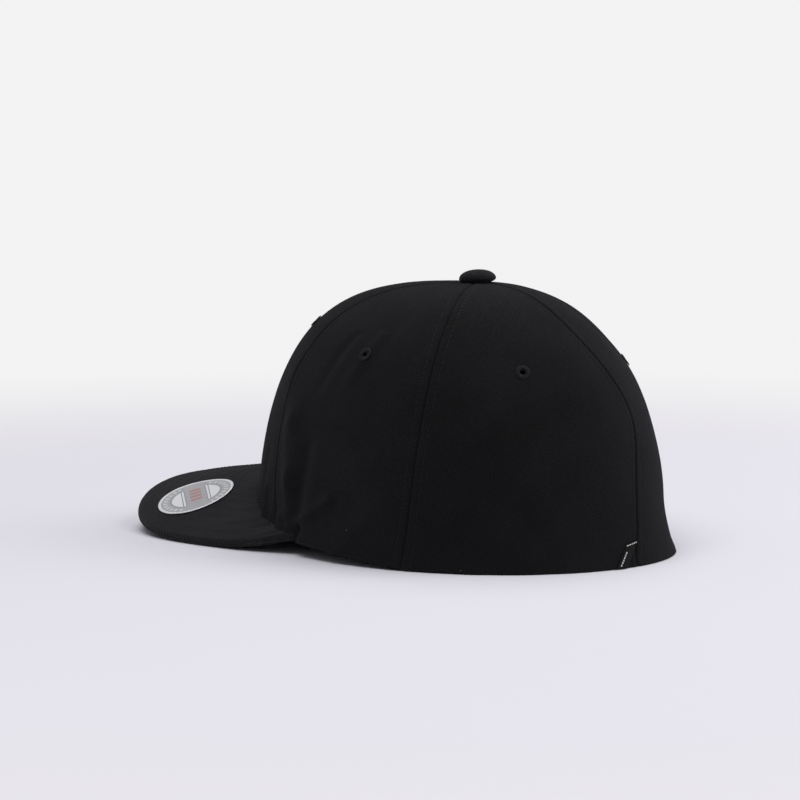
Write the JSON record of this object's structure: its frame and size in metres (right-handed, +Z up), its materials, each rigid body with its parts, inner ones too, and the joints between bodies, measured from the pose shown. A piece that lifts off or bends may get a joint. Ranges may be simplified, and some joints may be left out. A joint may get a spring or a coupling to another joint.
{
  "type": "bump cap",
  "caption": "Black stretch-fit bump cap: panelled cloth crown, stiff curved visor, covered button, sweatband and a removable padded impact insert.",
  "frame": {"origin": "centre of the head opening, on the plane that the hem rests on", "axes": "+Z up through the crown, -Y towards the visor, +X towards the wearer's left"},
  "size_m": [0.1854, 0.2836, 0.135],
  "materials": {
    "black_twill": "matte",
    "buckram_mesh": "matte",
    "black_tape": "satin",
    "stretch_core": "matte",
    "sweatband_cloth": "matte",
    "white_plastic": "satin",
    "plated_steel": "satin",
    "black_thread": "satin",
    "silver_film": "gloss",
    "white_label": "satin",
    "black_plastic": "satin",
    "soft_rubber": "matte",
    "grey_foam": "matte"
  },
  "bodies": {
    "cap": {"front_panel_left": "black_twill", "front_panel_right": "black_twill", "side_panel_left": "black_twill", "side_panel_right": "black_twill", "back_panel_left": "black_twill", "back_panel_right": "black_twill", "front_buckram_left": "buckram_mesh", "front_buckram_right": "buckram_mesh", "seam_tape_centre": "black_tape", "seam_tape_front_left": "black_tape", "seam_tape_front_right": "black_tape", "seam_tape_back_left": "black_tape", "seam_tape_back_right": "black_tape", "sweatband_core": "stretch_core", "sweatband_face": "sweatband_cloth", "visor_board": "white_plastic", "visor_top_cover": "black_twill", "visor_under_cover": "black_twill", "button_shell": "plated_steel", "button_cover": "black_twill", "button_rivet": "plated_steel", "eyelets": "black_thread", "size_sticker": "silver_film", "loop_label": "black_tape", "care_label": "white_label"},
    "insert": {"insert_shell": "black_plastic", "insert_trim": "soft_rubber", "insert_pad_front": "grey_foam", "insert_pad_back": "grey_foam", "insert_pad_left": "grey_foam", "insert_pad_right": "grey_foam", "insert_pad_top": "grey_foam"}
  },
  "joints": [
    {"name": "insert_slide", "type": "slide", "parent": "cap", "child": "insert", "axis": [0, 0, -1], "range_m": [0, 0.17]}
  ]
}
